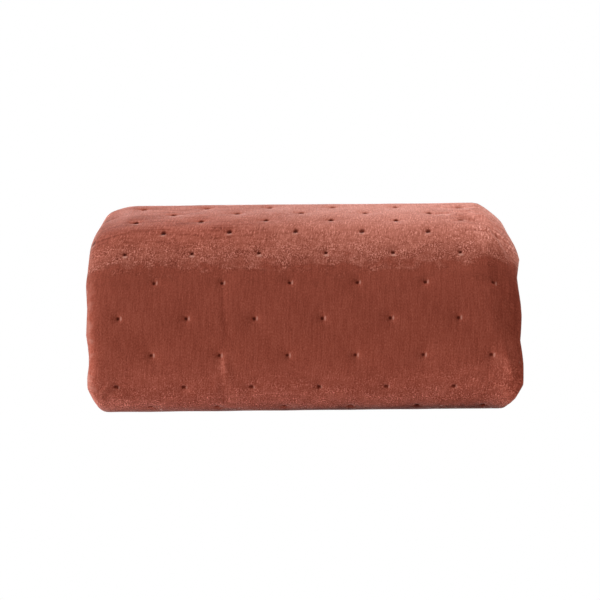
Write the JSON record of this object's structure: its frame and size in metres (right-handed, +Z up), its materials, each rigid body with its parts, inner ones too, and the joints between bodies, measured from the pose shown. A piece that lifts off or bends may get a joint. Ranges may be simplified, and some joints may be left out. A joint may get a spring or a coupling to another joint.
{
  "type": "folded plush blanket",
  "caption": "Quilted plush blanket folded into a thick rectangular bundle, with a smooth rounded fold at the front and its layers showing at the ends and back.",
  "frame": {"origin": "middle of the bundle's footprint, on the surface it rests on", "axes": "+X from the creased end to the open end along the bundle's longest side, -Y towards the smooth outer fold at the front, +Z up"},
  "size_m": [0.4577, 0.2711, 0.1984],
  "materials": {
    "plush": "short velvety pile in terracotta, matt with a soft sheen at grazing angles, tied into small dimples"
  },
  "bodies": {
    "root": {"blanket": "plush"}
  },
  "joints": []
}
